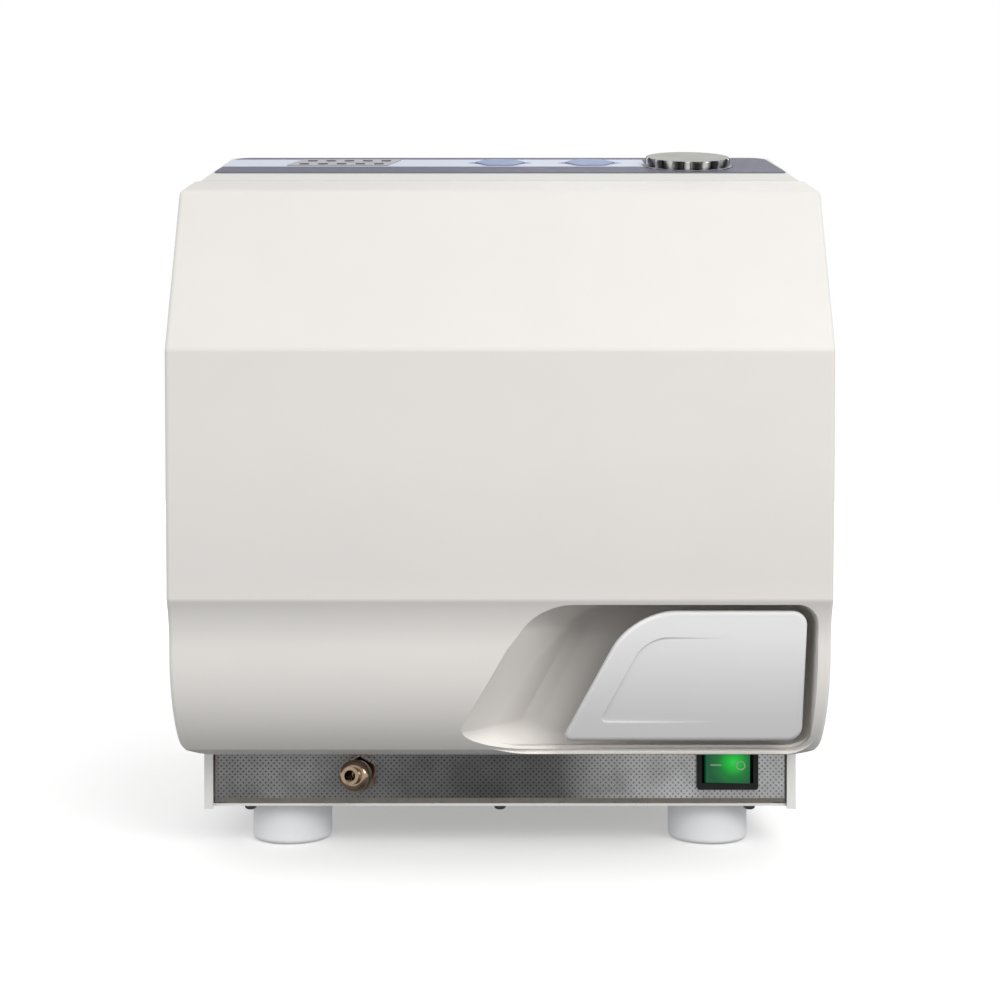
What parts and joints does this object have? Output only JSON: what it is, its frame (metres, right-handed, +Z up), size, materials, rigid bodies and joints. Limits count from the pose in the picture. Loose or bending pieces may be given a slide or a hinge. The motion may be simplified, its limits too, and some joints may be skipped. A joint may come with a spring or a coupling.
{
  "type": "benchtop autoclave",
  "caption": "Compact front-loading benchtop steam autoclave with a moulded hinged door, pull handle, inclined control panel, filler cap and steel casing.",
  "frame": {"origin": "middle of the footprint, on the surface that the feet stand on", "axes": "+Z up, +Y to the rear, -Y out of the door, +X to the right of someone facing the door"},
  "size_m": [0.306, 0.44, 0.3661],
  "materials": {
    "warm_white_plastic": "fine satin moulding",
    "cool_white_plastic": "smooth satin moulding",
    "pale_plastic": "matt moulding",
    "dark_plastic": "matt moulding",
    "black_plastic": "satin moulding",
    "foot_plastic": "smooth moulding",
    "white_paint": "fine textured powder coat",
    "zinc_steel": "zinc plated",
    "bright_steel": "polished",
    "dark_steel": "blackened",
    "stainless": "brushed",
    "dimpled_stainless": "embossed with a staggered dimple pattern",
    "nickel_brass": "turned, slightly dulled",
    "copper": "drawn tube",
    "chrome": "polished and knurled",
    "silicone": "translucent silicone rubber",
    "black_rubber": "moulded rubber",
    "overlay_film": "printed polyester film in grey and pale blue",
    "button_blue": "embossed film dome",
    "lamp_lens": "small diffusing lens",
    "circuit_board": "solder resist",
    "insulation": "glass fibre jacket",
    "lit_green": "translucent, lit from inside"
  },
  "bodies": {
    "root": {"body_hinge_leaves": "stainless", "hinge_pins": "bright_steel", "keepers": "stainless", "base_tray": "zinc_steel", "base_front_panel": "dimpled_stainless", "body_cover": "white_paint", "front_frame": "stainless", "rear_panel": "white_paint", "rear_screws": "bright_steel", "rear_standoffs": "black_rubber", "base_screws": "dark_steel", "feet": "foot_plastic", "foot_bolts": "bright_steel", "drain_fitting": "nickel_brass", "drain_tail": "nickel_brass", "switch_bezel": "black_plastic", "control_housing": "warm_white_plastic", "control_overlay": "overlay_film", "display_window": "overlay_film", "indicator_lights": "lamp_lens", "control_board": "circuit_board", "filler_neck": "pale_plastic", "pressure_chamber": "stainless", "insulation_jacket": "insulation", "heater_band": "zinc_steel", "chamber_supports": "zinc_steel", "chamber_rack": "bright_steel", "trays": "bright_steel", "temperature_probe": "bright_steel", "water_tank": "pale_plastic", "water_pump": "dark_steel", "solenoid_valves": "nickel_brass", "fill_pipe": "silicone", "drain_pipe": "silicone", "condenser_coil": "copper", "safety_valve": "nickel_brass", "cooling_fan_frame": "black_plastic", "mains_inlet": "black_plastic", "fuse_holders": "black_plastic", "transformer": "dark_steel"},
    "door": {"door_cover": "warm_white_plastic", "door_frame": "zinc_steel", "plate_hub": "bright_steel", "pressure_plate": "stainless", "door_gasket": "silicone", "door_liner": "pale_plastic", "liner_screws": "bright_steel", "door_hinge_leaves": "stainless", "handle_pin": "bright_steel"},
    "handle": {"handle_plate": "cool_white_plastic", "handle_lever": "dark_plastic"},
    "lock": {"lock_bar": "zinc_steel"},
    "rocker": {"rocker": "lit_green"},
    "filler_plug": {"filler_plug": "black_rubber"},
    "filler_cap": {"filler_cap": "chrome"},
    "button_start": {"button_start": "button_blue"},
    "button_select": {"button_select": "button_blue"},
    "fan": {"fan_rotor": "black_plastic"},
    "safety_ring": {"safety_ring": "bright_steel"}
  },
  "joints": [
    {"name": "door_swing", "type": "hinge", "parent": "root", "child": "door", "pos_m": [-0.1506, -0.1515, 0.19], "axis": [0, 0, -1], "range_deg": [0, 105]},
    {"name": "handle_pull", "type": "hinge", "parent": "door", "child": "handle", "pos_m": [0.108, -0.196, 0.106], "axis": [0, 0, 1], "range_deg": [0, 30]},
    {"name": "lock_slide", "type": "slide", "parent": "door", "child": "lock", "axis": [1, 0, 0], "range_m": [-0.0135, 0]},
    {"name": "rocker_tilt", "type": "hinge", "parent": "root", "child": "rocker", "pos_m": [0.114, -0.1485, 0.0429], "axis": [0, 0, 1], "range_deg": [0, 12]},
    {"name": "filler_lift", "type": "slide", "parent": "root", "child": "filler_plug", "axis": [0, -0.3453, 0.9385], "range_m": [0, 0.03]},
    {"name": "filler_turn", "type": "hinge", "parent": "filler_plug", "child": "filler_cap", "pos_m": [0.1001, -0.10526, 0.35381], "axis": [0, -0.3453, 0.9385], "range_deg": [0, 90]},
    {"name": "button_start_press", "type": "slide", "parent": "root", "child": "button_start", "axis": [0, 0.3453, -0.9385], "range_m": [0, 0.0006], "stiffness_N_per_m": 800},
    {"name": "button_select_press", "type": "slide", "parent": "root", "child": "button_select", "axis": [0, 0.3453, -0.9385], "range_m": [0, 0.0006], "stiffness_N_per_m": 800},
    {"name": "fan_spin", "type": "hinge", "parent": "root", "child": "fan", "pos_m": [-0.072, 0.2, 0.262], "axis": [0, 1, 0], "continuous": true},
    {"name": "safety_pull", "type": "slide", "parent": "root", "child": "safety_ring", "axis": [0, 1, 0], "range_m": [0, 0.003], "stiffness_N_per_m": 1500}
  ],
  "couplings": [
    {"joint": "lock_slide", "follows": "handle_pull", "m_per_rad": -0.0253}
  ]
}
